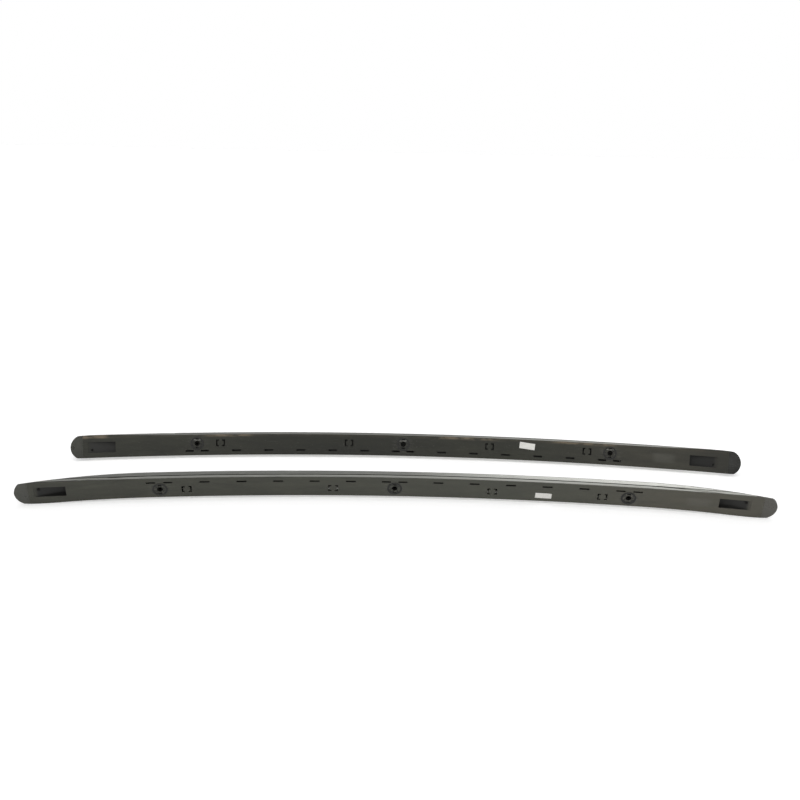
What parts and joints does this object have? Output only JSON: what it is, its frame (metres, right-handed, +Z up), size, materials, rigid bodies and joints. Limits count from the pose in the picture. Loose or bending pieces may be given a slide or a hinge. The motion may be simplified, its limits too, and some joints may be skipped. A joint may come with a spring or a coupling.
{
  "type": "pair of roof rails",
  "caption": "Mirrored pair of bowed flush roof rails: hollow aluminium profiles with black slotted base mouldings, rounded end caps and threaded roof mounts, laid on their sides",
  "frame": {"origin": "middle of the pair's bounding box, on the floor", "axes": "+X along the rails towards the cars' rear ends, +Y away from the undersides, +Z up"},
  "size_m": [1.6706, 0.4011, 0.0611],
  "materials": {
    "aluminium": "satin anodised",
    "moulding": "fine grain, dusty",
    "rubber": "matt",
    "bush_steel": "dark phosphated",
    "plated_steel": "zinc plated"
  },
  "bodies": {
    "root": {"left_base_moulding": "moulding", "left_front_cap_screw": "plated_steel", "left_front_end_cap": "moulding", "left_front_mount_plate": "plated_steel", "left_front_seal_ring": "rubber", "left_front_threaded_bush": "bush_steel", "left_middle_mount_plate": "plated_steel", "left_middle_seal_ring": "rubber", "left_middle_threaded_bush": "bush_steel", "left_rail_profile": "aluminium", "left_rear_cap_screw": "plated_steel", "left_rear_end_cap": "moulding", "left_rear_mount_plate": "plated_steel", "left_rear_seal_ring": "rubber", "left_rear_threaded_bush": "bush_steel", "right_base_moulding": "moulding", "right_front_cap_screw": "plated_steel", "right_front_end_cap": "moulding", "right_front_mount_plate": "plated_steel", "right_front_seal_ring": "rubber", "right_front_threaded_bush": "bush_steel", "right_middle_mount_plate": "plated_steel", "right_middle_seal_ring": "rubber", "right_middle_threaded_bush": "bush_steel", "right_rail_profile": "aluminium", "right_rear_cap_screw": "plated_steel", "right_rear_end_cap": "moulding", "right_rear_mount_plate": "plated_steel", "right_rear_seal_ring": "rubber", "right_rear_threaded_bush": "bush_steel"}
  },
  "joints": []
}
